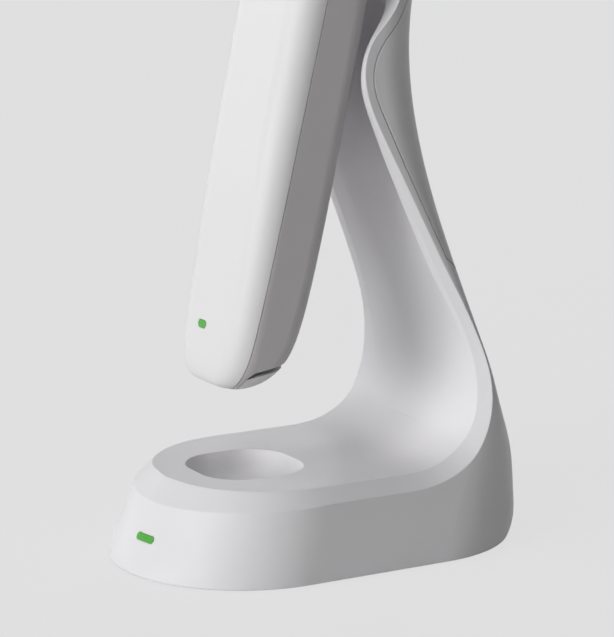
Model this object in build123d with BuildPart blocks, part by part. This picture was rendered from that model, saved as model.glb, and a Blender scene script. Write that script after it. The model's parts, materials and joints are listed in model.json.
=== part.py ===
from build123d import *
from math import cos, radians, sin
import os

# Wireless intraoral scanner standing in its charging stand.
# Millimetres. +Z is up, the stand's front faces -Y, and the origin is on the table,
# midway across the base. The handset leans back, so its pieces are drawn on the plane
# "grip", whose Z runs up the handset and whose Y points to the handset's back.

# Stand
base_half_width = 50.1
base_top = 34.0
base_front = 32.8           # centre of the round front end, ahead of the origin
front_slope = 0.29          # how far the front wall leans back for each mm of height
side_draft = 1.5            # lost from each side over half of the base's height
back_reach = 74.0           # how far the base runs behind the origin
cup_half_width = 26.8
cup_back = 33.2
rim_low = 5.0               # bevel of the rim round the base's top
rim_high = 0.6              # bevel of the rim at the ears
ribbon_wall = 3.2           # front wall of the upright and top wall of the base
cover_wall = 1.5
seam_low = 5.6              # back cover's joint behind the rim, at the base and at the ears
seam_high = 3.8
cover_start = 84.0          # where the cover's lower edge leaves the rim, above the base's top
cup_lining = 1.9
base_wall = 3.6
floor_gap = 0.8
pocket_size = 41.0
pocket_round = 16.0
pocket_depth = 15.0
pocket_scoop = 10.0
pocket_ahead = 31.9         # pocket centre, ahead of the origin
plate_thickness = 2.4
pad_thickness = 1.4
pad_margin = 9.0
fit = 0.3                   # clearance between pieces that are assembled by hand
snug = 0.15                 # clearance round pieces that are pressed or glued in
light_length = 10.0
light_height = 2.4
light_level = 14.0
light_aside = 7.0           # to the right of the middle
socket_width = 9.0
socket_height = 3.3
socket_length = 9.0
board_thickness = 1.6
board_width = 46.0
board_length = 32.0
post_height = 4.0
ballast_width = 56.0
ballast_length = 54.0
ballast_height = 7.0
boss_radius = 4.0
boss_rise = 10.0            # boss tops above the base's top, inside the walls
screw_head = 3.0            # radius
screw_head_height = 1.1
screw_radius = 1.5
screw_length = 10.0

# Handset
lean = 12.1                 # degrees back from upright
tail_ahead = 36.9           # tail end, ahead of the origin
tail_clearance = 30.8       # tail end above the base's top
half_width = 25.0
front_depth = 16.0          # from the axis to the front face
back_depth = 14.7           # from the axis to the back face
front_round = 10.0
back_round = 7.0
grip_length = 173.0         # tail end to the heel
head_length = 46.0
heel_depth = 18.9           # how far the heel stands out behind the back
shell_wall = 2.0
parting = 8.05              # parting plane ahead of the axis at the tail
parting_slope = 0.024
parting_gap = 0.25
rest_gap = 0.25             # heel above the top of the stand
lamp_length = 6.0
lamp_height = 2.8
lamp_along = 21.0
lamp_aside = -4.3           # to the left of the middle
cap_height = 8.0            # top of the tail cap above the tail end, on the axis
cap_slope = 0.42
cap_gap = 2.1               # open slot over the cap
cap_ahead = 6.0             # front of the cap, ahead of the axis
button_length = 22.0
button_width = 12.0
button_below = 16.0         # button's middle under the heel
button_proud = 0.9
button_travel = 0.7
button_flange = 1.0
switch_size = 6.0
switch_height = 3.5
frame_thickness = 2.0
frame_start = 16.0
stand_off = 4.0
main_start = 62.0
main_width = 28.0
main_length = 100.0
radio_start = 26.0
radio_width = 22.0
radio_length = 26.0
battery_width = 34.0
battery_depth = 10.0
battery_start = 60.0
battery_length = 72.0
optics_half_width = 14.5
optics_front = 11.0
optics_back = 14.0
optics_height = 24.0
optics_start = 6.0          # above the heel
camera_radius = 4.6
camera_spread = 9.2
projector_width = 7.0
projector_depth = 14.0
nose_half_width = 11.0
nose_half_depth = 10.0
nose_round = 6.0
nose_length = 34.0
nose_wall = 1.8
flange_height = 2.0
glass_thickness = 1.5
tip_length = 80.0
tip_wall = 1.6
tip_end_half_width = 10.0
tip_end_half_depth = 8.0
tip_end_round = 5.0
window_length = 15.0
window_width = 14.0
mirror_thickness = 1.0
pin_radius = 1.0
pin_spacing = 5.0
pin_inset = 6.0             # charging pins behind the front of the ledge
pad_radius = 1.7

os.makedirs("parts", exist_ok=True)

far = 140.0
wide = base_half_width - cup_half_width
lean_sin = sin(radians(lean))
lean_cos = cos(radians(lean))

# The handset's own plane: its origin is the tail end. "side" is its side view,
# with X to the handset's back and Y up the handset.
grip = Plane(
    origin=(0, -tail_ahead, base_top + tail_clearance),
    x_dir=(1, 0, 0),
    z_dir=(0, lean_sin, lean_cos),
)
side = Plane(origin=grip.origin, x_dir=grip.y_dir, z_dir=grip.x_dir)

# The upright's top is square to the handset and just under its heel.
ledge = 23.0
ledge_along = grip_length - rest_gap
stand_top = base_top + tail_clearance + (ledge_along - (ledge + tail_ahead) * lean_sin) / lean_cos

# Stations of the stand: height, half width, where the straight side ends, back, front centre.
low = base_top * 0.47
stations = (
    (-1.0, base_half_width, back_reach - 48, back_reach, -base_front),
    (low, base_half_width - side_draft, back_reach - 43, back_reach + 4, front_slope * low - base_front),
    (base_top, base_half_width - 2 * side_draft, back_reach - 36, back_reach + 1,
     front_slope * base_top - base_front),
    (base_top + 16, cup_half_width + 0.85 * wide, 44.5, 67, -18.5),
    (base_top + 32, cup_half_width + 0.77 * wide, 47, 57.5, -15),
    (base_top + 50, cup_half_width + 0.59 * wide, 43, 51.5, -13),
    (base_top + 70, cup_half_width + 0.395 * wide, 36, 47, -12),
    (stand_top - 102, cup_half_width + 0.26 * wide, 26, cup_back + 8.6, -12),
    (stand_top - 76, cup_half_width + 0.13 * wide, 16, cup_back + 3.3, -12),
    (stand_top - 46, cup_half_width, 12, cup_back, -12),
    (stand_top - 22, cup_half_width - 0.7, 14, cup_back + 1.4, -12),
    (stand_top + 4, cup_half_width - 1.8, 18, cup_back + 4, -12),
)
# Stations of the trough in the upright's front, which deepens into the cup between the ears:
# height, half width, centre and back of its elliptical floor.
trough_stations = (
    (base_top + 10, base_half_width - 7, 35.5, 38.2),
    (base_top + 16, base_half_width - 7, 39, 42),
    (base_top + 32, cup_half_width + 0.77 * wide - 2.7, 41, 45.9),
    (base_top + 50, cup_half_width + 0.59 * wide - 2, 36, 44.6),
    (base_top + 70, cup_half_width + 0.395 * wide - 2, 25, 38),
    (stand_top - 102, cup_half_width + 0.26 * wide - 1.9, 12, cup_back - 1.7),
    (stand_top - 76, cup_half_width + 0.13 * wide - 1.8, 0, cup_back - 7.2),
    (stand_top - 46, cup_half_width - 1.3, -4, cup_back - 6.2),
    (stand_top - 22, cup_half_width - 2, -3, cup_back - 8.7),
    (stand_top + 4, cup_half_width - 3.1, 0, cup_back - 15),
)


def tower(inset):
    # The stand's outside from the table to above its top, drawn in by an even wall.
    with BuildPart() as outer:
        for level, half, side_end, back, front_centre in stations:
            reach = half - inset
            with BuildSketch(Plane.XY.offset(level)):
                with BuildLine():
                    CenterArc((0, front_centre), reach, 180, 180)
                    Line((reach, front_centre), (reach, side_end))
                    EllipticalCenterArc((0, side_end), reach, back - inset - side_end,
                                        start_angle=0, arc_size=180)
                    Line((-reach, side_end), (-reach, front_centre))
                make_face()
        loft()
    return outer.part


def trough(spread):
    # The hollow down the upright's front, open to the front, grown by a lining.
    with BuildPart() as hollow:
        for level, half, centre, back in trough_stations:
            reach = half + spread
            with BuildSketch(Plane.XY.offset(level)):
                with BuildLine():
                    Line((-reach, -40), (reach, -40))
                    Line((reach, -40), (reach, centre))
                    EllipticalCenterArc((0, centre), reach, back + spread - centre,
                                        start_angle=0, arc_size=180)
                    Line((-reach, centre), (-reach, -40))
                make_face()
        loft()
    return hollow.part


# The upright's front seen from the side, from the base's top up past the ears to the ledge.
front_curve = Spline(
    (12, base_top), (36, base_top + 7.5), (44, base_top + 27), (34, base_top + 66), (18.5, stand_top - 93),
    (6, stand_top - 63), (3, stand_top - 50), (7, stand_top - 37), (15, stand_top - 27.5),
    (20.5, stand_top - 20), (ledge - 0.5, stand_top - 10),
    tangents=((1, 0), (0.1, 1)), tangent_scalars=(1, 1),
)


def side_prism(depth_low, depth_high):
    # All that is below the base's top and behind the upright's front, by a depth that
    # changes evenly from the base to the top.
    points = []
    for step in range(15):
        place = front_curve @ (step / 14)
        along = front_curve % (step / 14)
        depth = depth_low + (depth_high - depth_low) * step / 14
        points.append((place.X + depth * along.Y, place.Y - depth * along.X))
    drop = lean_sin / lean_cos
    top_line = stand_top - depth_high / lean_cos
    with BuildPart() as prism:
        with BuildSketch(Plane.YZ.offset(-far)):
            with BuildLine():
                Line((-far, base_top - depth_low), points[0])
                Spline(points, tangents=((1, 0), (0.1, 1)), tangent_scalars=(1, 1))
                Polyline(points[-1], (ledge + depth_high, top_line - depth_high * drop),
                         (far, top_line - (far - ledge) * drop), (far, -far), (-far, -far),
                         (-far, base_top - depth_low))
            make_face()
        extrude(amount=2 * far)
    return prism.part


def front_at(level):
    # The upright's front at a height: its place and its direction in the side view.
    start, end = 0.0, 1.0
    for halving in range(40):
        middle = (start + end) / 2
        if (front_curve @ middle).Y < level:
            start = middle
        else:
            end = middle
    return front_curve @ start, front_curve % start


def rim_cutter():
    # What the bevel takes off the rim on one side, from the middle of the base's front,
    # back along the side and up to the ears. Its triangular sections stand across the rim.
    middle_level, half, side_end, back, front_centre = stations[2]
    corners = []
    for turn in (-24, 0, 24, 46, 68, 90):
        outward = Vector(sin(radians(turn)), -cos(radians(turn)), 0)
        corners.append((Vector(0, front_centre, base_top) + outward * half, -outward, Vector(0, 0, -1)))
    for place in (0.35, 0.7):
        along_side = front_centre + place * (12 - front_centre)
        corners.append((Vector(half, along_side, base_top), Vector(-1, 0, 0), Vector(0, 0, -1)))
    rises = [(base_top + 0.2, half), (base_top + 2.6, half - 0.1), (base_top + 7.5, half - 0.25)]
    rises += [(level, reach) for level, reach, *others in stations[3:-1]]
    for level, reach in rises:
        place, along = front_at(level)
        corners.append((Vector(reach, place.X, level), Vector(-1, 0, 0), Vector(0, along.Y, -along.X)))
    level, reach, *others = stations[-1]
    corners.append((Vector(reach, ledge + 0.5, level), Vector(-1, 0, 0), Vector(0, 1, 0)))
    sections = []
    for corner, inward, down in corners:
        share = max(0, 1 - (corner.Z - base_top) / (stand_top - 46 - base_top))
        bevel = rim_high + (rim_low - rim_high) * share
        plane = Plane(origin=corner, x_dir=inward, z_dir=inward.cross(down))
        with BuildSketch(plane) as section:
            with BuildLine():
                Polyline((bevel + 2, -2), (-6, bevel + 6), (-8, -8), close=True)
            make_face()
        sections.append(section.sketch)
    with BuildPart() as cutter:
        loft(sections)
        split(bisect_by=Plane.YZ, keep=Keep.TOP)
    return cutter.part


outside = tower(0)
base_inside = tower(base_wall)
cover_inside = tower(cover_wall)
light_outside = tower(-0.2)
light_inside = tower(base_wall + 1.5)
trough_space = trough(0)
trough_outside = trough(cup_lining)
lining_limit = tower(cover_wall + fit)
whole_profile = side_prism(0, 0)
base_profile = side_prism(ribbon_wall, ribbon_wall)
cover_opening = side_prism(seam_low, seam_high)
cover_profile = side_prism(seam_low + fit, seam_high + fit)
near_bevel = rim_cutter()

with BuildPart() as rim_bevel:
    add(near_bevel)
    mirror(near_bevel, about=Plane.YZ)

# The cover's lower edge slopes down from the rim to the middle of the back.
cover_front, cover_along = front_at(base_top + cover_start)
cover_edge = Plane(
    origin=(0, cover_front.X, base_top + cover_start), x_dir=(1, 0, 0), z_dir=(0, 0.64, 0.77)
)
plate_top = floor_gap + plate_thickness

boss_spots = [(-36, -28), (36, -28), (-32, 40), (32, 40)]

with BuildPart() as pocket:
    with BuildSketch(Plane.XY.offset(base_top + 1)):
        with Locations((0, -pocket_ahead)):
            RectangleRounded(pocket_size, pocket_size, pocket_round)
    extrude(amount=-pocket_depth - 1, taper=6)
    fillet(faces().sort_by(Axis.Z)[0].edges(), radius=pocket_scoop)

with BuildPart() as pocket_wall:
    with BuildSketch(Plane.XY.offset(base_top - ribbon_wall)):
        with Locations((0, -pocket_ahead)):
            RectangleRounded(pocket_size + 2 * base_wall, pocket_size + 2 * base_wall,
                             pocket_round + base_wall)
    extrude(amount=ribbon_wall - pocket_depth - base_wall, taper=6)

# The base's hollow, with the pocket and the screw bosses left standing in it.
with BuildPart() as base_hollow:
    add(base_inside)
    add(base_profile, mode=Mode.INTERSECT)
    add(pocket_wall.part, mode=Mode.SUBTRACT)
    with Locations([(x, y, plate_top) for x, y in boss_spots]):
        Cylinder(boss_radius, base_top + boss_rise, align=(Align.CENTER, Align.CENTER, Align.MIN),
                 mode=Mode.SUBTRACT)

with BuildPart() as cup_liner:
    add(trough_outside)
    add(base_profile, mode=Mode.INTERSECT)
    add(lining_limit, mode=Mode.INTERSECT)
    add(trough_space, mode=Mode.SUBTRACT)

with BuildPart() as cover_space:
    add(cover_opening)
    split(bisect_by=cover_edge, keep=Keep.TOP)

with BuildPart() as light_bar:
    with BuildSketch(Plane.XZ.offset(base_front + base_half_width / 2)):
        with Locations((light_aside, light_level)):
            SlotOverall(light_length, light_height)
    extrude(amount=base_half_width)

with BuildPart() as light_hole:
    with BuildSketch(Plane.XZ.offset(base_front + base_half_width / 2)):
        with Locations((light_aside, light_level)):
            SlotOverall(light_length + 2 * snug, light_height + 2 * snug)
    extrude(amount=base_half_width)

board_level = plate_top + post_height
socket_level = board_level + board_thickness + socket_height / 2
socket_mouth = back_reach + 1.4

# Charging pins through the ledge, on a small board under it, drawn in the handset's plane.
ledge_back = (ledge + tail_ahead) * lean_cos - (stand_top - base_top - tail_clearance) * lean_sin
pin_spots = [(x * pin_spacing, ledge_back + pin_inset) for x in (-1, 0, 1)]
under_ledge = ledge_along - ribbon_wall
pin_top = grip_length + rest_gap

with BuildPart() as stand_shell:
    add(outside)
    add(whole_profile, mode=Mode.INTERSECT)
    add(rim_bevel.part, mode=Mode.SUBTRACT)
    add(cover_space.part, mode=Mode.SUBTRACT)
    add(base_hollow.part, mode=Mode.SUBTRACT)
    add(trough_space, mode=Mode.SUBTRACT)
    add(cup_liner.part)
    add(pocket.part, mode=Mode.SUBTRACT)
    add(light_hole.part, mode=Mode.SUBTRACT)
    with BuildSketch(Plane.XZ.offset(-socket_mouth + socket_length)):
        with Locations((0, socket_level)):
            SlotOverall(socket_width + 2 * fit, socket_height + 2 * fit)
    extrude(amount=-3 * socket_length, mode=Mode.SUBTRACT)
    with Locations([(x, y, plate_top) for x, y in boss_spots]):
        Cylinder(screw_radius + snug, screw_length, align=(Align.CENTER, Align.CENTER, Align.MIN),
                 mode=Mode.SUBTRACT)
    with BuildSketch(grip.offset(ledge_along - 2 * ribbon_wall)):
        with Locations(pin_spots):
            Circle(pin_radius + snug)
    extrude(amount=3 * ribbon_wall, mode=Mode.SUBTRACT)
    split(bisect_by=Plane.XY.offset(floor_gap), keep=Keep.TOP)
stand_shell.part.label = "stand_shell"
export_step(stand_shell.part, "parts/stand_shell.step")

with BuildPart() as stand_back_cover:
    add(outside)
    add(cover_profile, mode=Mode.INTERSECT)
    split(bisect_by=cover_edge.offset(fit), keep=Keep.TOP)
    add(cover_inside, mode=Mode.SUBTRACT)
stand_back_cover.part.label = "stand_back_cover"
export_step(stand_back_cover.part, "parts/stand_back_cover.step")

with BuildPart() as stand_light:
    add(light_bar.part)
    add(light_outside, mode=Mode.INTERSECT)
    add(light_inside, mode=Mode.SUBTRACT)
stand_light.part.label = "stand_light"
export_step(stand_light.part, "parts/stand_light.step")


def floor_slab(inset, bottom, top):
    # A flat slab with the base's outline at the table, drawn in by a margin.
    level, half, side_end, back, front_centre = stations[0]
    reach = half - inset
    with BuildPart() as slab:
        with BuildSketch(Plane.XY.offset(bottom)):
            with BuildLine():
                CenterArc((0, front_centre), reach, 180, 180)
                Line((reach, front_centre), (reach, side_end))
                EllipticalCenterArc((0, side_end), reach, back - inset - side_end,
                                    start_angle=0, arc_size=180)
                Line((-reach, side_end), (-reach, front_centre))
            make_face()
        extrude(amount=top - bottom)
    return slab.part


# The plate that closes the base, with posts for the charging board.
plate_margin = base_wall + fit + front_slope * plate_top
board_ahead = socket_mouth - socket_length + 2 - board_length / 2
post_spots = [
    (x * (board_width / 2 - 4), board_ahead + y * (board_length / 2 - 4)) for x in (-1, 1) for y in (-1, 1)
]

plate_slab = floor_slab(plate_margin, floor_gap, plate_top)
pad_slab = floor_slab(pad_margin, 0, pad_thickness)
pad_recess = floor_slab(pad_margin - fit, 0, pad_thickness)

with BuildPart() as base_plate:
    add(plate_slab)
    with Locations([(x, y, plate_top) for x, y in post_spots]):
        Cylinder(2.5, post_height, align=(Align.CENTER, Align.CENTER, Align.MIN))
    add(pad_recess, mode=Mode.SUBTRACT)
    with BuildSketch(Plane.XY.offset(pad_thickness)):
        with Locations(boss_spots):
            Circle(screw_head + fit)
    extrude(amount=screw_head_height + 0.1, mode=Mode.SUBTRACT)
    with BuildSketch(Plane.XY):
        with Locations(boss_spots):
            Circle(screw_radius + fit)
    extrude(amount=2 * plate_top, mode=Mode.SUBTRACT)
base_plate.part.label = "base_plate"
export_step(base_plate.part, "parts/base_plate.step")

with BuildPart() as rubber_pad:
    add(pad_slab)
rubber_pad.part.label = "rubber_pad"
export_step(rubber_pad.part, "parts/rubber_pad.step")

with BuildPart() as base_screws:
    with Locations([(x, y, pad_thickness) for x, y in boss_spots]):
        Cylinder(screw_head, screw_head_height, align=(Align.CENTER, Align.CENTER, Align.MIN))
        Cylinder(screw_radius, screw_length, align=(Align.CENTER, Align.CENTER, Align.MIN))
base_screws.part.label = "base_screws"
export_step(base_screws.part, "parts/base_screws.step")

with BuildPart() as ballast_weight:
    with BuildSketch(Plane.XY.offset(plate_top)):
        with Locations((0, -pocket_ahead)):
            RectangleRounded(ballast_width, ballast_length, 8)
    extrude(amount=ballast_height)
    chamfer(faces().sort_by(Axis.Z)[-1].edges(), length=1)
ballast_weight.part.label = "ballast_weight"
export_step(ballast_weight.part, "parts/ballast_weight.step")

with BuildPart() as charge_board:
    with BuildSketch(Plane.XY.offset(board_level)):
        with Locations((0, board_ahead)):
            RectangleRounded(board_width, board_length, 2)
    extrude(amount=board_thickness)
    with BuildSketch(Plane.XY.offset(board_level + board_thickness)):
        with Locations((-board_width / 4, board_ahead - 4)):
            Rectangle(9, 9)
        with Locations((board_width / 4, board_ahead - 6)):
            Rectangle(7, 5)
    extrude(amount=1.2)
charge_board.part.label = "charge_board"
export_step(charge_board.part, "parts/charge_board.step")

with BuildPart() as power_socket:
    with BuildSketch(Plane.XZ.offset(socket_length - socket_mouth)):
        with Locations((0, socket_level)):
            SlotOverall(socket_width, socket_height)
    extrude(amount=-socket_length)
    with BuildSketch(Plane.XZ.offset(-socket_mouth)):
        with Locations((0, socket_level)):
            SlotOverall(socket_width - 0.7, socket_height - 0.7)
    extrude(amount=socket_length - 2, mode=Mode.SUBTRACT)
    with BuildSketch(Plane.XZ.offset(socket_length - 2 - socket_mouth)):
        with Locations((0, socket_level)):
            Rectangle(socket_width - 2.3, 0.8)
    extrude(amount=3 - socket_length)
power_socket.part.label = "power_socket"
export_step(power_socket.part, "parts/power_socket.step")

with BuildPart() as contact_board:
    with BuildSketch(grip.offset(under_ledge)):
        with Locations((0, ledge_back + pin_inset + 1.2)):
            Rectangle(2 * pin_spacing + 8, 6)
        with Locations(pin_spots):
            Circle(pin_radius + snug, mode=Mode.SUBTRACT)
    extrude(amount=-board_thickness)
contact_board.part.label = "contact_board"
export_step(contact_board.part, "parts/contact_board.step")

with BuildPart() as charge_pins:
    with BuildSketch(grip.offset(under_ledge - board_thickness - 1)):
        with Locations(pin_spots):
            Circle(pin_radius)
    extrude(amount=pin_top - under_ledge + board_thickness + 1)
charge_pins.part.label = "charge_pins"
export_step(charge_pins.part, "parts/charge_pins.step")

# The handset's outline, station by station up its length: height, half width, front, back.
heel_back = back_depth + heel_depth
full_from = 94.0            # the grip keeps its full section from here up to the heel
stretch = (grip_length - full_from) / 79
grip_stations = (
    (0.5, half_width - 13, front_depth - 4.6, back_depth - 17),
    (5, half_width - 6, front_depth - 2.1, back_depth - 10),
    (13, half_width - 2.3, front_depth - 1.4, back_depth - 5),
    (25, half_width - 0.9, front_depth - 1.2, back_depth - 2.1),
    (40, half_width - 0.4, front_depth - 0.9, back_depth - 0.9),
    (57, half_width - 0.15, front_depth - 0.6, back_depth - 0.35),
    (75, half_width, front_depth - 0.2, back_depth - 0.1),
    (full_from, half_width, front_depth, back_depth),
    (full_from + 20 * stretch, half_width, front_depth, back_depth),
    (full_from + 40 * stretch, half_width, front_depth, back_depth),
    (full_from + 60 * stretch, half_width, front_depth, back_depth),
    (grip_length, half_width, front_depth, back_depth),
)
head_top = grip_length + head_length
button_along = grip_length - button_below
top_half_width = half_width - 10
top_front = front_depth - 6.5
top_back = heel_back - 18.5
top_half_depth = (top_front + top_back) / 2
nose_back = (top_back - top_front) / 2
head_stations = (
    (grip_length, half_width, front_depth, heel_back),
    (grip_length + 18, half_width - 0.5, front_depth, heel_back - 2),
    (grip_length + 33, half_width - 4, front_depth - 1.5, heel_back - 9),
    (head_top, top_half_width, top_front, top_back),
)


def grip_section(level, half, front, back, inset):
    room = min(0.75 * half, 0.45 * (front + back))
    front_corner = max(min(front_round, room) - inset, 1)
    back_corner = max(min(back_round, room) - inset, 1)
    with BuildSketch(grip.offset(level)) as section:
        with Locations((0, (back - front) / 2)):
            Rectangle(2 * (half - inset), front + back - 2 * inset)
        fillet(section.vertices().group_by(Axis.Y)[0], radius=front_corner)
        fillet(section.vertices().group_by(Axis.Y)[-1], radius=back_corner)
    return section.sketch


def handset(inset):
    # The whole handset without its tip, drawn in by an even wall.
    grip_sections = []
    for level, half, front, back in grip_stations:
        if level < 10 or level == grip_length:
            level = level + inset
        grip_sections.append(grip_section(level, half, front, back, inset))
    head_sections = []
    for level, half, front, back in head_stations:
        if level == grip_length:
            level = level + inset
        if level == head_top:
            level = level - inset
        head_sections.append(grip_section(level, half, front, back, inset))
    with BuildPart() as whole:
        loft(grip_sections)
        loft(head_sections)
    return whole.part


handset_outside = handset(0)
handset_inside = handset(shell_wall)
frame_limit = handset(shell_wall + snug)


def front_side(shift):
    # All that is ahead of the parting plane, moved back by a shift.
    with BuildPart() as block:
        with BuildSketch(side.offset(-far)):
            with BuildLine():
                start = (shift - parting - parting_slope * far, -far)
                end = (shift - parting + parting_slope * 2 * far, 2 * far)
                Polyline((-far, -far), start, end, (-far, 2 * far), close=True)
            make_face()
        extrude(amount=2 * far)
    return block.part


def tail_end(joint, slot):
    # The tail cap's block, behind its front joint and under its sloping top, grown by the
    # joint's clearance in front and by an open slot over the top, which starts as a wedge.
    front = -cap_ahead - joint
    with BuildPart() as block:
        with BuildSketch(side.offset(-far)):
            with BuildLine():
                Polyline(
                    (front, -far),
                    (front, cap_height + cap_slope * front + joint),
                    (slot - cap_ahead + 0.1, cap_height + cap_slope * (slot - cap_ahead) + slot),
                    (far, cap_height + cap_slope * far + slot),
                    (far, -far),
                    close=True,
                )
            make_face()
        extrude(amount=2 * far)
    return block.part


front_half = front_side(0)
rear_start = front_side(parting_gap)
cap_block = tail_end(0, 0)
cap_space = tail_end(snug, cap_gap)

front_face = Plane(
    origin=grip.from_local_coords((0, -front_depth, button_along)), x_dir=grip.z_dir, z_dir=-grip.y_dir
)
lamp_face = Plane(
    origin=grip.from_local_coords((lamp_aside, -front_depth, lamp_along)),
    x_dir=grip.x_dir,
    z_dir=-grip.y_dir,
)

with BuildPart() as nose_hole:
    with BuildSketch(grip.offset(head_top - 3 * shell_wall)):
        with Locations((0, nose_back)):
            RectangleRounded(2 * (nose_half_width + fit), 2 * (nose_half_depth + fit), nose_round + fit)
    extrude(amount=far)

with BuildPart() as front_shell:
    add(handset_outside)
    add(handset_inside, mode=Mode.SUBTRACT)
    add(front_half, mode=Mode.INTERSECT)
    add(nose_hole.part, mode=Mode.SUBTRACT)
    with BuildSketch(front_face.offset(2 * button_proud)):
        SlotOverall(button_length + 2 * fit, button_width + 2 * fit)
    extrude(amount=-shell_wall - 4 * button_proud, mode=Mode.SUBTRACT)
    with BuildSketch(lamp_face.offset(2)):
        SlotOverall(lamp_length + 2 * snug, lamp_height + 2 * snug)
    extrude(amount=-shell_wall - 6, mode=Mode.SUBTRACT)
front_shell.part.label = "front_shell"
export_step(front_shell.part, "parts/front_shell.step")

with BuildPart() as rear_shell:
    add(handset_outside)
    add(handset_inside, mode=Mode.SUBTRACT)
    add(rear_start, mode=Mode.SUBTRACT)
    add(cap_space, mode=Mode.SUBTRACT)
    add(nose_hole.part, mode=Mode.SUBTRACT)
    with BuildSketch(grip.offset(grip_length)):
        with Locations(pin_spots):
            Circle(pad_radius + snug)
    extrude(amount=0.6 * shell_wall, mode=Mode.SUBTRACT)
rear_shell.part.label = "rear_shell"
export_step(rear_shell.part, "parts/rear_shell.step")

with BuildPart() as tail_cap:
    add(handset_outside)
    add(cap_block, mode=Mode.INTERSECT)
tail_cap.part.label = "tail_cap"
export_step(tail_cap.part, "parts/tail_cap.step")

with BuildPart() as charge_pads:
    with BuildSketch(grip.offset(grip_length + 0.6 * shell_wall)):
        with Locations(pin_spots):
            Circle(pad_radius)
    extrude(amount=2 * rest_gap - 0.6 * shell_wall)
charge_pads.part.label = "charge_pads"
export_step(charge_pads.part, "parts/charge_pads.step")

with BuildPart() as handset_light:
    with BuildSketch(lamp_face.offset(2)):
        SlotOverall(lamp_length, lamp_height)
    extrude(amount=-shell_wall - 5)
    add(handset_outside, mode=Mode.INTERSECT)
handset_light.part.label = "handset_light"
export_step(handset_light.part, "parts/handset_light.step")

# A flat frame across the handset carries the boards in front and the battery behind.
frame_end = grip_length + optics_start
switch_face = -stand_off - board_thickness
main_middle = main_start + main_length / 2
radio_middle = radio_start + radio_length / 2
board_spots = [
    (x * (width / 2 - 3), middle + z * (length / 2 - 4))
    for width, length, middle in (
        (main_width, main_length, main_middle), (radio_width, radio_length, radio_middle))
    for x in (-1, 1) for z in (-1, 1)
]

with BuildPart() as frame_slab:
    with BuildSketch(side.offset(-far)):
        with Locations((frame_thickness / 2, (frame_start + frame_end) / 2)):
            Rectangle(frame_thickness, frame_end - frame_start)
    extrude(amount=2 * far)

frame_plane = Plane(origin=grip.origin, x_dir=grip.x_dir, z_dir=-grip.y_dir)

with BuildPart() as inner_frame:
    add(frame_limit)
    add(frame_slab.part, mode=Mode.INTERSECT)
    with BuildSketch(frame_plane):
        with Locations(board_spots):
            Circle(2)
    extrude(amount=stand_off)
inner_frame.part.label = "inner_frame"
export_step(inner_frame.part, "parts/inner_frame.step")

with BuildPart() as main_board:
    with BuildSketch(frame_plane.offset(stand_off)):
        with Locations((0, main_middle)):
            RectangleRounded(main_width, main_length, 2)
    extrude(amount=board_thickness)
    with BuildSketch(frame_plane.offset(stand_off + board_thickness)):
        with Locations((-5, main_middle + 8)):
            Rectangle(13, 13)
        with Locations((6, main_middle - 14)):
            Rectangle(9, 12)
        with Locations((-5, main_middle - 34)):
            Rectangle(10, 8)
    extrude(amount=1.2)
main_board.part.label = "main_board"
export_step(main_board.part, "parts/main_board.step")

with BuildPart() as wireless_board:
    with BuildSketch(frame_plane.offset(stand_off)):
        with Locations((0, radio_middle)):
            RectangleRounded(radio_width, radio_length, 2)
    extrude(amount=board_thickness)
    with BuildSketch(frame_plane.offset(stand_off + board_thickness)):
        with Locations((0, radio_middle + 2)):
            Rectangle(12, 14)
    extrude(amount=1.5)
wireless_board.part.label = "wireless_board"
export_step(wireless_board.part, "parts/wireless_board.step")

with BuildPart() as battery_pack:
    with BuildSketch(frame_plane.offset(-frame_thickness)):
        with Locations((0, battery_start + battery_length / 2)):
            RectangleRounded(battery_width, battery_length, 2)
    extrude(amount=-battery_depth)
    fillet(edges().filter_by(Axis(grip.origin, grip.z_dir)), radius=2)
battery_pack.part.label = "battery_pack"
export_step(battery_pack.part, "parts/battery_pack.step")

# The scan button: a cap on the front face, a flange behind the shell and a stem to its switch.
flange_front = front_depth - shell_wall - snug
stem_end = -switch_face + switch_height + button_travel + 0.1

with BuildPart() as button_switch:
    with BuildSketch(frame_plane.offset(-switch_face)):
        with Locations((0, button_along)):
            Rectangle(switch_size, switch_size)
    extrude(amount=switch_height - 1)
    with BuildSketch(frame_plane.offset(switch_height - 1 - switch_face)):
        with Locations((0, button_along)):
            Circle(1.7)
    extrude(amount=1)
button_switch.part.label = "button_switch"
export_step(button_switch.part, "parts/button_switch.step")

with BuildPart() as scan_button:
    with BuildSketch(front_face.offset(button_proud)):
        SlotOverall(button_length, button_width)
    extrude(amount=-button_proud - shell_wall - snug)
    fillet(faces().sort_by(Axis(grip.origin, -grip.y_dir))[-1].edges(), radius=0.6)
    with BuildSketch(front_face.offset(flange_front - front_depth)):
        SlotOverall(button_length + 3, button_width + 3)
    extrude(amount=-button_flange)
    with BuildSketch(front_face.offset(flange_front - front_depth - button_flange)):
        Circle(2)
    extrude(amount=stem_end - flange_front + button_flange)
scan_button.part.label = "scan_button"
export_step(scan_button.part, "parts/scan_button.step")

# The optical block in the head: two cameras either side of a pattern projector.
optics_level = grip_length + optics_start
camera_length = optics_height + 4

with BuildPart() as optical_frame:
    with BuildSketch(grip.offset(optics_level)):
        with Locations((0, (optics_back - optics_front) / 2)):
            RectangleRounded(2 * optics_half_width, optics_back + optics_front, 3)
        with Locations((-camera_spread, nose_back), (camera_spread, nose_back)):
            Circle(camera_radius + snug, mode=Mode.SUBTRACT)
        with Locations((0, nose_back)):
            Rectangle(projector_width + 2 * snug, projector_depth + 2 * snug, mode=Mode.SUBTRACT)
    extrude(amount=optics_height)
optical_frame.part.label = "optical_frame"
export_step(optical_frame.part, "parts/optical_frame.step")

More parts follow.
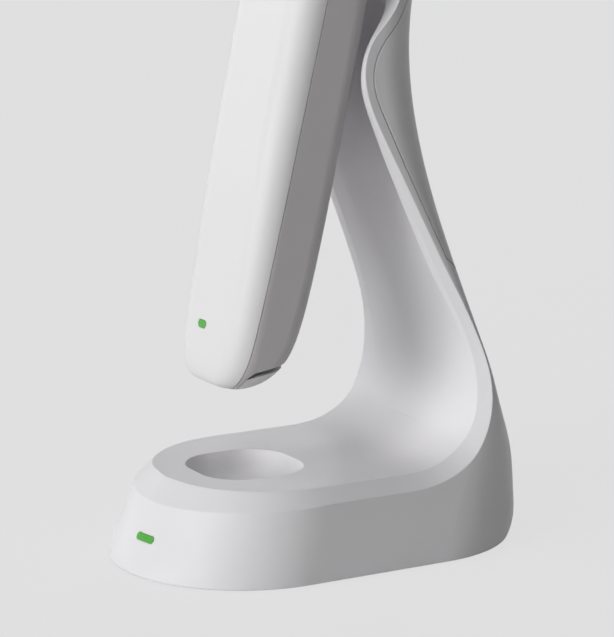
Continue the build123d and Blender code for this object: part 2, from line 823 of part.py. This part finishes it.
with BuildPart() as left_camera:
    with BuildSketch(grip.offset(optics_level + 1)):
        with Locations((-camera_spread, nose_back)):
            Circle(camera_radius)
    extrude(amount=camera_length)
left_camera.part.label = "left_camera"
export_step(left_camera.part, "parts/left_camera.step")

with BuildPart() as right_camera:
    with BuildSketch(grip.offset(optics_level + 1)):
        with Locations((camera_spread, nose_back)):
            Circle(camera_radius)
    extrude(amount=camera_length)
right_camera.part.label = "right_camera"
export_step(right_camera.part, "parts/right_camera.step")

with BuildPart() as projector:
    with BuildSketch(grip.offset(optics_level + 1)):
        with Locations((0, nose_back)):
            Rectangle(projector_width, projector_depth)
    extrude(amount=camera_length)
projector.part.label = "projector"
export_step(projector.part, "parts/projector.step")

# The nose that the tip slides over, with a flange inside the head and a glass window.
nose_end = head_top + nose_length

flange_top = head_top - 2 * shell_wall

with BuildPart() as nose_slab:
    with BuildSketch(grip.offset(flange_top)):
        Rectangle(far, far)
    extrude(amount=-flange_height)

with BuildPart() as nose_sleeve:
    add(frame_limit)
    add(nose_slab.part, mode=Mode.INTERSECT)
    with BuildSketch(grip.offset(flange_top - flange_height)):
        with Locations((0, nose_back)):
            RectangleRounded(2 * nose_half_width, 2 * nose_half_depth, nose_round)
    extrude(amount=nose_end - flange_top + flange_height)
    chamfer(faces().sort_by(Axis(grip.origin, grip.z_dir))[-1].edges(), length=0.8)
    with BuildSketch(grip.offset(head_top - far / 4)):
        with Locations((0, nose_back)):
            RectangleRounded(2 * (nose_half_width - nose_wall), 2 * (nose_half_depth - nose_wall),
                             nose_round - nose_wall)
    extrude(amount=far, mode=Mode.SUBTRACT)
nose_sleeve.part.label = "nose_sleeve"
export_step(nose_sleeve.part, "parts/nose_sleeve.step")

with BuildPart() as nose_window:
    with BuildSketch(grip.offset(nose_end - 1)):
        with Locations((0, nose_back)):
            RectangleRounded(2 * (nose_half_width - nose_wall - snug),
                             2 * (nose_half_depth - nose_wall - snug), nose_round - nose_wall - snug)
    extrude(amount=-glass_thickness)
nose_window.part.label = "nose_window"
export_step(nose_window.part, "parts/nose_window.step")

# The tip: a tapered sleeve with a window near its end and a mirror behind the window.
tip_start = head_top + fit
tip_end = tip_start + tip_length
nose_clear = nose_end + 2
bend = nose_clear + 0.4 * (tip_end - nose_clear)
window_middle = tip_end - tip_wall - window_length / 2 - 2
tip_outer = (
    (tip_start, top_half_width, top_half_depth, nose_round + 2),
    (nose_clear, nose_half_width + fit + tip_wall, nose_half_depth + fit + tip_wall, nose_round + tip_wall),
    (bend, tip_end_half_width + 1, tip_end_half_depth + 1.2, tip_end_round + 1),
    (tip_end, tip_end_half_width, tip_end_half_depth, tip_end_round),
)
tip_inner = (
    (tip_start - 1, nose_half_width + fit, nose_half_depth + fit, nose_round),
    (nose_clear, nose_half_width + fit, nose_half_depth + fit, nose_round),
    (bend, tip_end_half_width + 1 - tip_wall, tip_end_half_depth + 1.2 - tip_wall, tip_end_round - 1),
    (tip_end - tip_wall, tip_end_half_width - tip_wall, tip_end_half_depth - tip_wall,
     tip_end_round - tip_wall),
)
tip_middle = grip.offset(window_middle).shift_origin(grip.from_local_coords((0, nose_back, window_middle)))
mirror_plane = tip_middle.rotated((-45, 0, 0))

with BuildPart() as tip_space:
    for level, half, depth, corner in tip_inner:
        with BuildSketch(grip.offset(level)):
            with Locations((0, nose_back)):
                RectangleRounded(2 * half, 2 * depth, corner)
    loft(ruled=True)

with BuildPart() as tip_sleeve:
    for level, half, depth, corner in tip_outer:
        with BuildSketch(grip.offset(level)):
            with Locations((0, nose_back)):
                RectangleRounded(2 * half, 2 * depth, corner)
    loft()
    fillet(faces().sort_by(Axis(grip.origin, grip.z_dir))[-1].edges(), radius=tip_wall)
    add(tip_space.part, mode=Mode.SUBTRACT)
    with BuildSketch(Plane(tip_middle.origin, x_dir=grip.x_dir, z_dir=grip.y_dir)):
        RectangleRounded(window_width, window_length, 2)
    extrude(amount=far, mode=Mode.SUBTRACT)
tip_sleeve.part.label = "tip_sleeve"
export_step(tip_sleeve.part, "parts/tip_sleeve.step")

with BuildPart() as tip_mirror:
    with BuildSketch(mirror_plane):
        RectangleRounded(2 * (tip_end_half_width - tip_wall - fit) - 1,
                         2.6 * (tip_end_half_depth - tip_wall - mirror_thickness), 1)
    extrude(amount=mirror_thickness)
tip_mirror.part.label = "tip_mirror"
export_step(tip_mirror.part, "parts/tip_mirror.step")
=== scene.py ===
import json
import math

import bmesh
import bpy
from mathutils import Matrix, Vector


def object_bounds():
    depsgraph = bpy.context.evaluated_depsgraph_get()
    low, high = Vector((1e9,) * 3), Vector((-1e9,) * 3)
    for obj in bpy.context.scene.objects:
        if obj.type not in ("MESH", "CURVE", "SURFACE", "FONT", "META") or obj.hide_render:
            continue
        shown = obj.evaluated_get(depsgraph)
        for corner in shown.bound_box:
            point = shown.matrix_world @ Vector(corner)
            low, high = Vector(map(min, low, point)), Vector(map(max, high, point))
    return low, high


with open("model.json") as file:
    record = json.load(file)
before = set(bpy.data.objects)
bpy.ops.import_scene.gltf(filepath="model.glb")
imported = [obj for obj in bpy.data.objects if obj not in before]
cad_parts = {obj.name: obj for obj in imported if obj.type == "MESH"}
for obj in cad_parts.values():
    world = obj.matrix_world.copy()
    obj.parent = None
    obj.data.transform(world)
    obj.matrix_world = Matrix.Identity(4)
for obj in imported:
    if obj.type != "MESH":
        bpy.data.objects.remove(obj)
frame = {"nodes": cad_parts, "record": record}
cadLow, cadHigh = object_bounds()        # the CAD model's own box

scene = bpy.context.scene
nodes = frame["nodes"]
print("frame loaded:", len(nodes), "nodes")


# small helpers for node materials

noiseMiddle = (0.3, 0.7)     # most values of a noise texture lie between these
edgeSamples = 6


def grey(level):
    return (level, level, level)


def darker(colour, share):
    return tuple(share * channel for channel in colour)


def startMaterial(name):
    material = bpy.data.materials.new(name)
    material.use_nodes = True
    tree = material.node_tree
    shader = tree.nodes["Principled BSDF"]
    place = tree.nodes.new("ShaderNodeTexCoord")
    return material, tree, shader, place.outputs["Object"]


def noise(tree, place, scale, detail):
    texture = tree.nodes.new("ShaderNodeTexNoise")
    texture.inputs["Scale"].default_value = scale
    texture.inputs["Detail"].default_value = detail
    tree.links.new(place, texture.inputs["Vector"])
    return texture.outputs["Fac"]


def spread(tree, value, low, high):
    mapRange = tree.nodes.new("ShaderNodeMapRange")
    mapRange.inputs["From Min"].default_value = noiseMiddle[0]
    mapRange.inputs["From Max"].default_value = noiseMiddle[1]
    mapRange.inputs["To Min"].default_value = low
    mapRange.inputs["To Max"].default_value = high
    tree.links.new(value, mapRange.inputs["Value"])
    return mapRange.outputs["Result"]


def shade(tree, value, dark, light):
    mix = tree.nodes.new("ShaderNodeMix")
    mix.data_type = "RGBA"
    mix.inputs["A"].default_value = (*dark, 1)
    mix.inputs["B"].default_value = (*light, 1)
    tree.links.new(value, mix.inputs["Factor"])
    return mix.outputs["Result"]


def softEdge(tree, radius):
    edge = tree.nodes.new("ShaderNodeBevel")
    edge.samples = edgeSamples
    edge.inputs["Radius"].default_value = radius
    return edge.outputs["Normal"]


def bump(tree, shader, value, strength, distance, normal=None):
    relief = tree.nodes.new("ShaderNodeBump")
    relief.inputs["Strength"].default_value = strength
    relief.inputs["Distance"].default_value = distance
    tree.links.new(value, relief.inputs["Height"])
    if normal:
        tree.links.new(normal, relief.inputs["Normal"])
    tree.links.new(relief.outputs["Normal"], shader.inputs["Normal"])


# satin mouldings: a slow drift of colour, an uneven gloss, a fine grain and edges broken by the mould
mouldingLook = {
    "driftScale": 22,
    "driftDetail": 3,
    "wearScale": 160,
    "wearDetail": 4,
    "wearSpread": 0.05,        # how far the gloss strays either way
    "grainDetail": 2,
    "grainDepth": 0.00004,
    "specular": 0.4,
}


def moulding(name, colour, rough, grain, relief, edge=0.0003, drift=0.03):
    look = mouldingLook
    material, tree, shader, place = startMaterial(name)
    slow = noise(tree, place, look["driftScale"], look["driftDetail"])
    tint = shade(tree, slow, darker(colour, 1 - drift), colour)
    tree.links.new(tint, shader.inputs["Base Color"])
    wear = noise(tree, place, look["wearScale"], look["wearDetail"])
    gloss = spread(tree, wear, rough - look["wearSpread"], rough + look["wearSpread"])
    tree.links.new(gloss, shader.inputs["Roughness"])
    shader.inputs["Specular IOR Level"].default_value = look["specular"]
    fine = noise(tree, place, grain, look["grainDetail"])
    bump(tree, shader, fine, relief, look["grainDepth"], softEdge(tree, edge))
    return material


# lit lens: a cloudy glow in the clear plastic
lensLook = {
    "glowScale": 420,
    "glowDetail": 1,
    "dimShare": 0.82,
    "roughness": 0.25,
}


def lens(name, colour, strength):
    look = lensLook
    material, tree, shader, place = startMaterial(name)
    glow = noise(tree, place, look["glowScale"], look["glowDetail"])
    tint = shade(tree, glow, darker(colour, look["dimShare"]), colour)
    tree.links.new(tint, shader.inputs["Base Color"])
    tree.links.new(tint, shader.inputs["Emission Color"])
    shader.inputs["Emission Strength"].default_value = strength
    shader.inputs["Roughness"].default_value = look["roughness"]
    return material


# metals: long brush lines along one way
metalLook = {
    "lineScale": 900,
    "lineDetail": 3,
    "lineDepth": 0.00003,
    "dullShare": 0.86,
    "glossSpread": 0.06,
}


def metal(name, colour, rough, along, relief):
    look = metalLook
    material, tree, shader, place = startMaterial(name)
    stretch = tree.nodes.new("ShaderNodeMapping")
    stretch.inputs["Scale"].default_value = along
    tree.links.new(place, stretch.inputs["Vector"])
    lines = noise(tree, stretch.outputs["Vector"], look["lineScale"], look["lineDetail"])
    tint = shade(tree, lines, darker(colour, look["dullShare"]), colour)
    tree.links.new(tint, shader.inputs["Base Color"])
    gloss = spread(tree, lines, rough - look["glossSpread"], rough + look["glossSpread"])
    tree.links.new(gloss, shader.inputs["Roughness"])
    shader.inputs["Metallic"].default_value = 1.0
    bump(tree, shader, lines, relief, look["lineDepth"])
    return material


# rubber: matt, with a coarse grain
rubberLook = {
    "grainScale": 1400,
    "grainDetail": 3,
    "grainDepth": 0.0001,
    "relief": 0.5,
    "roughness": (0.75, 0.95),
}


def rubber(name, dark, light):
    look = rubberLook
    material, tree, shader, place = startMaterial(name)
    grain = noise(tree, place, look["grainScale"], look["grainDetail"])
    tree.links.new(shade(tree, grain, dark, light), shader.inputs["Base Color"])
    tree.links.new(spread(tree, grain, *look["roughness"]), shader.inputs["Roughness"])
    bump(tree, shader, grain, look["relief"], look["grainDepth"])
    return material


# circuit board: solder mask with fine copper tracks showing through
boardLook = {
    "trackScale": 240,
    "trackWidth": 0.03,
    "trackDepth": 0.00005,
    "relief": 0.3,
    "darkShare": 0.8,
    "roughness": 0.4,
}


def boardMask(name, mask, track):
    look = boardLook
    material, tree, shader, place = startMaterial(name)
    tracks = tree.nodes.new("ShaderNodeTexBrick")
    tracks.inputs["Color1"].default_value = (*mask, 1)
    tracks.inputs["Color2"].default_value = (*darker(mask, look["darkShare"]), 1)
    tracks.inputs["Mortar"].default_value = (*track, 1)
    tracks.inputs["Scale"].default_value = look["trackScale"]
    tracks.inputs["Mortar Size"].default_value = look["trackWidth"]
    tree.links.new(place, tracks.inputs["Vector"])
    tree.links.new(tracks.outputs["Color"], shader.inputs["Base Color"])
    shader.inputs["Roughness"].default_value = look["roughness"]
    bump(tree, shader, tracks.outputs["Fac"], look["relief"], look["trackDepth"])
    return material


# window glass: clear, with a faint haze
glassLook = {
    "hazeScale": 60,
    "hazeDetail": 2,
    "roughness": (0.02, 0.06),
    "tint": (0.9, 0.95, 0.97),
    "refraction": 1.5,
}


def clearGlass(name):
    look = glassLook
    material, tree, shader, place = startMaterial(name)
    haze = noise(tree, place, look["hazeScale"], look["hazeDetail"])
    tree.links.new(spread(tree, haze, *look["roughness"]), shader.inputs["Roughness"])
    shader.inputs["Base Color"].default_value = (*look["tint"], 1)
    shader.inputs["Transmission Weight"].default_value = 1.0
    shader.inputs["IOR"].default_value = look["refraction"]
    return material


# one finish for each material slot: edge is a radius in metres, along is the squeeze of the brush lines
finishes = {
    "stand_plastic": moulding(
        "standWhite", (0.856, 0.846, 0.862), rough=0.48, grain=2600, relief=0.25, edge=0.0006),
    "handset_plastic": moulding(
        "handsetWhite", (0.846, 0.838, 0.84), rough=0.48, grain=3000, relief=0.2),
    "dark_plastic": moulding(
        "darkMoulding", grey(0.045), rough=0.5, grain=2200, relief=0.4, drift=0.3),
    "frame_plastic": moulding(
        "frameMoulding", grey(0.16), rough=0.5, grain=1800, relief=0.4, drift=0.25),
    "nose_plastic": moulding(
        "noseMoulding", grey(0.08), rough=0.42, grain=2400, relief=0.35, drift=0.25),
    "tip_plastic": moulding(
        "tipMoulding", (0.65, 0.66, 0.67), rough=0.38, grain=2400, relief=0.25, edge=0.0005, drift=0.07),
    "button_plastic": moulding(
        "buttonTouch", (0.46, 0.47, 0.49), rough=0.5, grain=3200, relief=0.4, edge=0.0005, drift=0.09),
    "battery_sleeve": moulding(
        "batterySleeve", (0.045, 0.07, 0.13), rough=0.35, grain=700, relief=0.3, drift=0.3),
    "pad_rubber": rubber("padRubber", dark=grey(0.025), light=grey(0.04)),
    "green_light": lens("greenLens", (0.07, 0.37, 0.038), strength=0.25),
    "screw_steel": metal("screwSteel", (0.62, 0.62, 0.64), rough=0.3, along=(1, 1, 0.05), relief=0.2),
    "weight_steel": metal("weightSteel", (0.5, 0.5, 0.52), rough=0.42, along=(0.05, 1, 1), relief=0.5),
    "socket_metal": metal("socketMetal", (0.66, 0.66, 0.68), rough=0.28, along=(1, 0.05, 1), relief=0.2),
    "contact_gold": metal("contactGold", (0.9, 0.66, 0.25), rough=0.2, along=(1, 1, 0.1), relief=0.15),
    "optics_aluminium": metal(
        "opticsAluminium", (0.7, 0.71, 0.73), rough=0.36, along=(1, 0.05, 1), relief=0.3),
    "mirror_glass": metal("mirrorGlass", (0.92, 0.93, 0.94), rough=0.05, along=(1, 1, 1), relief=0.0),
    "circuit_board": boardMask("boardMask", mask=(0.01, 0.09, 0.035), track=(0.05, 0.22, 0.08)),
    "window_glass": clearGlass("windowGlass"),
}

# the handset's rear half is the same white plastic as its front, given a greyer copy of that white as
# painted shade for the side turned away from the lamps
paintedShadeFinish = {
    "rear_shell": moulding(
        "handsetRearPaintedShade", (0.64, 0.62, 0.627), rough=0.5, grain=3000, relief=0.2),
}

for part in frame["record"]["subparts"]:
    cadNode = nodes[part["node"]]
    cadNode.data.materials.clear()
    # the rear shell takes the greyer copy of the white, which is painted shade
    cadNode.data.materials.append(paintedShadeFinish.get(part["node"], finishes[part["material_slot"]]))
print("finishes assigned:", len(finishes) + len(paintedShadeFinish))


# photographic stage: an even pale floor that only takes a faint shadow
stageLook = {
    "floorRadius": 6.0,
    "floorSides": 96,
    "floorDrop": 0.0002,                   # metres that it lies under the object, so that no faces meet
    "floorColour": 0.78,
    "backdrop": (0.742, 0.742, 0.75),      # what the camera sees of the backdrop and the far floor
    "nearFloor": (0.795, 0.795, 0.805),    # and of the floor round the object, before its shadow
    "shadowShare": 0.12,                   # how much of the real lit floor shows through there
    "shadowReach": (0.2, 0.8),             # metres from the middle over which the shadow fades
}


def seenDirectly(tree):
    # camera, glossy and transmission rays see the backdrop's own level
    path = tree.nodes.new("ShaderNodeLightPath")
    first = tree.nodes.new("ShaderNodeMath")
    first.operation = "MAXIMUM"
    second = tree.nodes.new("ShaderNodeMath")
    second.operation = "MAXIMUM"
    tree.links.new(path.outputs["Is Camera Ray"], first.inputs[0])
    tree.links.new(path.outputs["Is Glossy Ray"], first.inputs[1])
    tree.links.new(first.outputs[0], second.inputs[0])
    tree.links.new(path.outputs["Is Transmission Ray"], second.inputs[1])
    return second.outputs[0]


def mixShaders(tree, first, second):
    mix = tree.nodes.new("ShaderNodeMixShader")
    tree.links.new(first.outputs[0], mix.inputs[1])
    tree.links.new(second.outputs[0], mix.inputs[2])
    return mix


def floorMaterial(look):
    material = bpy.data.materials.new("paleFloor")
    material.use_nodes = True
    tree = material.node_tree
    tree.nodes.remove(tree.nodes["Principled BSDF"])
    matte = tree.nodes.new("ShaderNodeBsdfDiffuse")
    matte.inputs["Color"].default_value = (*grey(look["floorColour"]), 1)
    near = tree.nodes.new("ShaderNodeEmission")
    near.inputs["Color"].default_value = (*look["nearFloor"], 1)
    far = tree.nodes.new("ShaderNodeEmission")
    far.inputs["Color"].default_value = (*look["backdrop"], 1)
    shadowed = mixShaders(tree, near, matte)
    shadowed.inputs["Fac"].default_value = look["shadowShare"]

    place = tree.nodes.new("ShaderNodeTexCoord")
    away = tree.nodes.new("ShaderNodeVectorMath")
    away.operation = "LENGTH"
    tree.links.new(place.outputs["Object"], away.inputs[0])
    fade = tree.nodes.new("ShaderNodeMapRange")
    fade.interpolation_type = "SMOOTHSTEP"
    fade.inputs["From Min"].default_value = look["shadowReach"][0]
    fade.inputs["From Max"].default_value = look["shadowReach"][1]
    tree.links.new(away.outputs["Value"], fade.inputs["Value"])
    seen = mixShaders(tree, shadowed, far)
    tree.links.new(fade.outputs["Result"], seen.inputs["Fac"])

    choose = mixShaders(tree, matte, seen)
    tree.links.new(seenDirectly(tree), choose.inputs["Fac"])
    tree.links.new(choose.outputs[0], tree.nodes["Material Output"].inputs["Surface"])
    return material


floorMesh = bpy.data.meshes.new("floor")
floorShape = bmesh.new()
bmesh.ops.create_circle(
    floorShape, cap_ends=True, segments=stageLook["floorSides"], radius=stageLook["floorRadius"])
bmesh.ops.translate(floorShape, verts=floorShape.verts, vec=(0, 0, cadLow.z - stageLook["floorDrop"]))
floorShape.to_mesh(floorMesh)
floorShape.free()
floor = bpy.data.objects.new("floor", floorMesh)
floor.data.materials.append(floorMaterial(stageLook))
scene.collection.objects.link(floor)

# soft studio light: a broad key from the front and right, with fills from the left, above and behind
studio = {
    "aim": (0.0, 0.0, 0.12),
    "distance": 4.0,
    "size": 1.5,
    "worldLevel": 0.04,
    "lamps": {                         # degrees from the front towards +X, degrees up, watts
        "keyLow": (0, 9, 39.0),
        "keyRight": (22, 9, 28.0),
        "keyHigh": (14, 28, 25.0),
        "rightHigh": (45, 28, 13.0),
        "leftLow": (-75, 9, 16.0),
        "leftBack": (-135, 16, 36.0),
        "topLeft": (-25, 68, 14.0),
        "topRight": (20, 58, 14.0),
    },
}

world = bpy.data.worlds.new("studio")
scene.world = world
world.use_nodes = True
worldTree = world.node_tree
ambient = worldTree.nodes["Background"]
ambient.inputs["Color"].default_value = (*grey(1), 1)
ambient.inputs["Strength"].default_value = studio["worldLevel"]
backdrop = worldTree.nodes.new("ShaderNodeBackground")
backdrop.inputs["Color"].default_value = (*stageLook["backdrop"], 1)
backdrop.inputs["Strength"].default_value = 1.0
chooseWorld = mixShaders(worldTree, ambient, backdrop)
worldTree.links.new(seenDirectly(worldTree), chooseWorld.inputs["Fac"])
worldTree.links.new(chooseWorld.outputs[0], worldTree.nodes["World Output"].inputs["Surface"])


def outward(azimuth, elevation):
    turn = math.radians(azimuth)
    tilt = math.radians(elevation)
    return Vector((math.sin(turn) * math.cos(tilt), -math.cos(turn) * math.cos(tilt), math.sin(tilt)))


def softLamp(name, look, azimuth, elevation, power):
    away = outward(azimuth, elevation)
    lamp = bpy.data.lights.new(name, "AREA")
    lamp.shape = "DISK"
    lamp.size = look["size"]
    lamp.energy = power
    rig = bpy.data.objects.new(name, lamp)
    rig.location = Vector(look["aim"]) + away * look["distance"]
    rig.rotation_mode = "QUATERNION"
    rig.rotation_quaternion = (-away).to_track_quat("-Z", "Y")
    scene.collection.objects.link(rig)


for lampName, (azimuth, elevation, power) in studio["lamps"].items():
    softLamp(lampName, studio, azimuth, elevation, power)
print("stage and lamps set:", len(studio["lamps"]), "lamps")


# camera at the photograph's viewing angle
viewpoint = {
    "azimuth": 60.222,         # degrees from the front towards +X
    "elevation": 12.616,
    "distance": 1.2,
    "aimRight": -0.004386,     # the picture's centre from the origin, metres
    "aimUp": 0.083869,
    "focalPixels": 3167.0,
    "longSidePixels": 637,
    "sensor": 36.0,
    "clipEnd": 100.0,
}


def placeCamera(look):
    turn = math.radians(look["azimuth"])
    right = Vector((math.cos(turn), math.sin(turn), 0))
    back = outward(look["azimuth"], look["elevation"])
    up = back.cross(right)
    cameraData = bpy.data.cameras.new("photoCamera")
    cameraData.sensor_width = look["sensor"]
    cameraData.lens = look["focalPixels"] * look["sensor"] / look["longSidePixels"]
    cameraData.clip_end = look["clipEnd"]
    rig = bpy.data.objects.new("photoCamera", cameraData)
    spot = right * look["aimRight"] + up * look["aimUp"] + back * look["distance"]
    turned = Matrix((right, up, back)).transposed().to_4x4()
    rig.matrix_world = Matrix.Translation(spot) @ turned
    scene.collection.objects.link(rig)
    scene.camera = rig


placeCamera(viewpoint)
scene.view_settings.view_transform = "Standard"
print("camera placed")
